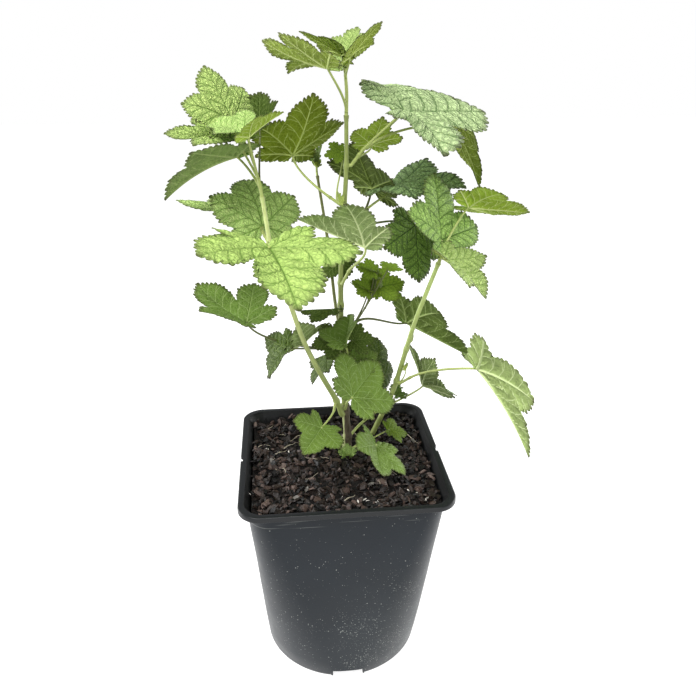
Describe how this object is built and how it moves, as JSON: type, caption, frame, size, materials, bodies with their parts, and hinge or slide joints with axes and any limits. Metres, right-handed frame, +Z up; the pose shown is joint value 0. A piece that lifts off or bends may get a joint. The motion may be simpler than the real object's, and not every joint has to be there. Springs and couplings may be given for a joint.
{
  "type": "potted currant bush",
  "caption": "Young currant bush with lobed, toothed leaves on slender leaning shoots, growing in a square-rimmed black nursery pot that tapers to a round foot, filled with bark compost.",
  "frame": {"origin": "middle of the pot's flat underside, on the surface that the pot stands on", "axes": "+Z up along the plant; the pot's front side, which the picture shows, faces -Y; +X is the picture's right"},
  "size_m": [0.2553, 0.2448, 0.4981],
  "materials": {
    "pot_plastic": "satin, dusty charcoal black",
    "bark_compost": "loose, damp bark chips",
    "woody_bark": "rough grey-brown bark",
    "green_bark": "smooth young green bark",
    "leaf_green": "matt, quilted leaf with a paler underside"
  },
  "bodies": {
    "root": {"pot": "pot_plastic", "soil": "bark_compost", "trunk": "woody_bark", "centre_shoot": "green_bark", "left_shoot": "green_bark", "right_shoot": "green_bark", "rear_shoot": "green_bark", "centre_leaves": "leaf_green", "foot_left_leaves": "leaf_green", "foot_right_leaves": "leaf_green", "front_low_leaves": "leaf_green", "left_fan_leaves": "leaf_green", "left_inner_leaves": "leaf_green", "left_low_leaves": "leaf_green", "left_middle_leaves": "leaf_green", "left_tip_leaves": "leaf_green", "low_centre_leaves": "leaf_green", "low_rear_leaves": "leaf_green", "mid_right_leaves": "leaf_green", "rear_leaves": "leaf_green", "rear_left_leaves": "leaf_green", "rear_middle_leaves": "leaf_green", "rear_right_leaves": "leaf_green", "right_inner_leaves": "leaf_green", "right_low_leaves": "leaf_green", "right_rear_leaves": "leaf_green", "right_tip_leaves": "leaf_green", "top_leaves": "leaf_green", "upper_left_leaves": "leaf_green", "upper_right_leaves": "leaf_green"}
  },
  "joints": []
}
